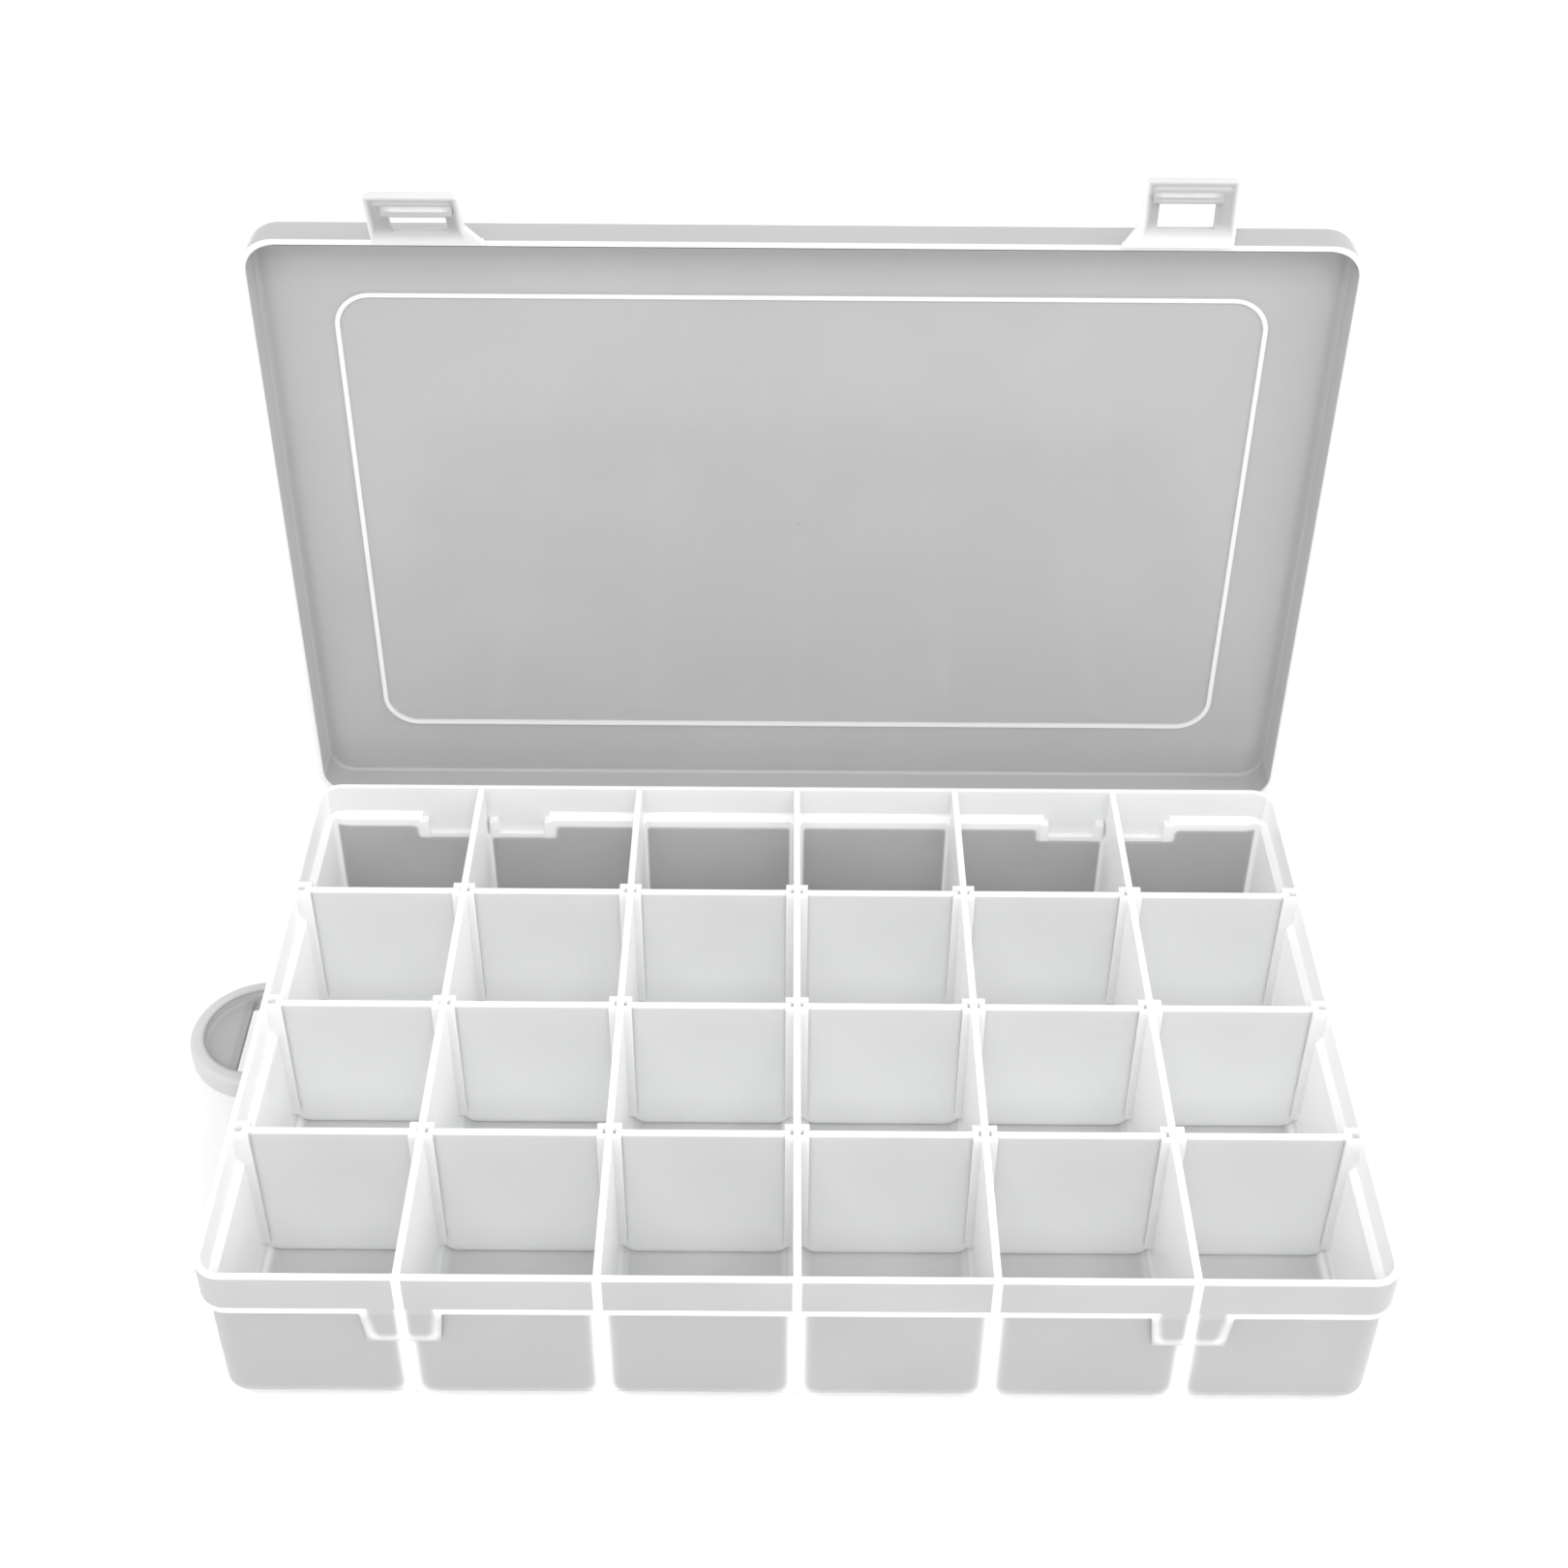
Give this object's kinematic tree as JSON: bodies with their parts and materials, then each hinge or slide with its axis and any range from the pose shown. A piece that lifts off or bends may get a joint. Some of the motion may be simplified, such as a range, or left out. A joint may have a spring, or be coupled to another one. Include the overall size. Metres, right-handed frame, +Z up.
{
  "type": "parts sorting tray",
  "caption": "Shallow translucent box for sorting small parts: a compartment tray with lift-out dividers, a hinged lid with snap latches and a hanging loop.",
  "frame": {"origin": "under the tray's centre, on the surface that it stands on", "axes": "+X to the right along the long side, +Y to the hinge side, +Z up"},
  "size_m": [0.2159, 0.1414, 0.1681],
  "materials": {
    "tray_plastic": "translucent frosted, satin",
    "loop_plastic": "satin",
    "lid_plastic": "translucent frosted, semi-gloss",
    "latch_plastic": "translucent frosted, satin",
    "divider_plastic": "translucent frosted, satin"
  },
  "bodies": {
    "tray": {"tray": "tray_plastic", "hang_loop": "loop_plastic"},
    "lid": {"lid": "lid_plastic"},
    "latch_left": {"latch_left": "latch_plastic"},
    "latch_right": {"latch_right": "latch_plastic"},
    "divider_row1_col1": {"divider_row1_col1": "divider_plastic"},
    "divider_row1_col2": {"divider_row1_col2": "divider_plastic"},
    "divider_row1_col3": {"divider_row1_col3": "divider_plastic"},
    "divider_row1_col4": {"divider_row1_col4": "divider_plastic"},
    "divider_row1_col5": {"divider_row1_col5": "divider_plastic"},
    "divider_row1_col6": {"divider_row1_col6": "divider_plastic"},
    "divider_row2_col1": {"divider_row2_col1": "divider_plastic"},
    "divider_row2_col2": {"divider_row2_col2": "divider_plastic"},
    "divider_row2_col3": {"divider_row2_col3": "divider_plastic"},
    "divider_row2_col4": {"divider_row2_col4": "divider_plastic"},
    "divider_row2_col5": {"divider_row2_col5": "divider_plastic"},
    "divider_row2_col6": {"divider_row2_col6": "divider_plastic"},
    "divider_row3_col1": {"divider_row3_col1": "divider_plastic"},
    "divider_row3_col2": {"divider_row3_col2": "divider_plastic"},
    "divider_row3_col3": {"divider_row3_col3": "divider_plastic"},
    "divider_row3_col4": {"divider_row3_col4": "divider_plastic"},
    "divider_row3_col5": {"divider_row3_col5": "divider_plastic"},
    "divider_row3_col6": {"divider_row3_col6": "divider_plastic"}
  },
  "joints": [
    {"name": "lid_hinge", "type": "hinge", "parent": "tray", "child": "lid", "pos_m": [0, 0.066, 0.0245], "axis": [-1, 0, 0], "range_deg": [-90.5, 0]},
    {"name": "latch_left_hinge", "type": "hinge", "parent": "lid", "child": "latch_left", "pos_m": [-0.0666, 0.06919, 0.15508], "axis": [-1, 0, 0], "range_deg": [-65, 75]},
    {"name": "latch_right_hinge", "type": "hinge", "parent": "lid", "child": "latch_right", "pos_m": [0.0666, 0.06919, 0.15508], "axis": [-1, 0, 0], "range_deg": [-91, 49]},
    {"name": "divider_row1_col1_lift", "type": "slide", "parent": "tray", "child": "divider_row1_col1", "axis": [0, 0, 1], "range_m": [0, 0.034]},
    {"name": "divider_row1_col2_lift", "type": "slide", "parent": "tray", "child": "divider_row1_col2", "axis": [0, 0, 1], "range_m": [0, 0.034]},
    {"name": "divider_row1_col3_lift", "type": "slide", "parent": "tray", "child": "divider_row1_col3", "axis": [0, 0, 1], "range_m": [0, 0.034]},
    {"name": "divider_row1_col4_lift", "type": "slide", "parent": "tray", "child": "divider_row1_col4", "axis": [0, 0, 1], "range_m": [0, 0.034]},
    {"name": "divider_row1_col5_lift", "type": "slide", "parent": "tray", "child": "divider_row1_col5", "axis": [0, 0, 1], "range_m": [0, 0.034]},
    {"name": "divider_row1_col6_lift", "type": "slide", "parent": "tray", "child": "divider_row1_col6", "axis": [0, 0, 1], "range_m": [0, 0.034]},
    {"name": "divider_row2_col1_lift", "type": "slide", "parent": "tray", "child": "divider_row2_col1", "axis": [0, 0, 1], "range_m": [0, 0.034]},
    {"name": "divider_row2_col2_lift", "type": "slide", "parent": "tray", "child": "divider_row2_col2", "axis": [0, 0, 1], "range_m": [0, 0.034]},
    {"name": "divider_row2_col3_lift", "type": "slide", "parent": "tray", "child": "divider_row2_col3", "axis": [0, 0, 1], "range_m": [0, 0.034]},
    {"name": "divider_row2_col4_lift", "type": "slide", "parent": "tray", "child": "divider_row2_col4", "axis": [0, 0, 1], "range_m": [0, 0.034]},
    {"name": "divider_row2_col5_lift", "type": "slide", "parent": "tray", "child": "divider_row2_col5", "axis": [0, 0, 1], "range_m": [0, 0.034]},
    {"name": "divider_row2_col6_lift", "type": "slide", "parent": "tray", "child": "divider_row2_col6", "axis": [0, 0, 1], "range_m": [0, 0.034]},
    {"name": "divider_row3_col1_lift", "type": "slide", "parent": "tray", "child": "divider_row3_col1", "axis": [0, 0, 1], "range_m": [0, 0.034]},
    {"name": "divider_row3_col2_lift", "type": "slide", "parent": "tray", "child": "divider_row3_col2", "axis": [0, 0, 1], "range_m": [0, 0.034]},
    {"name": "divider_row3_col3_lift", "type": "slide", "parent": "tray", "child": "divider_row3_col3", "axis": [0, 0, 1], "range_m": [0, 0.034]},
    {"name": "divider_row3_col4_lift", "type": "slide", "parent": "tray", "child": "divider_row3_col4", "axis": [0, 0, 1], "range_m": [0, 0.034]},
    {"name": "divider_row3_col5_lift", "type": "slide", "parent": "tray", "child": "divider_row3_col5", "axis": [0, 0, 1], "range_m": [0, 0.034]},
    {"name": "divider_row3_col6_lift", "type": "slide", "parent": "tray", "child": "divider_row3_col6", "axis": [0, 0, 1], "range_m": [0, 0.034]}
  ]
}
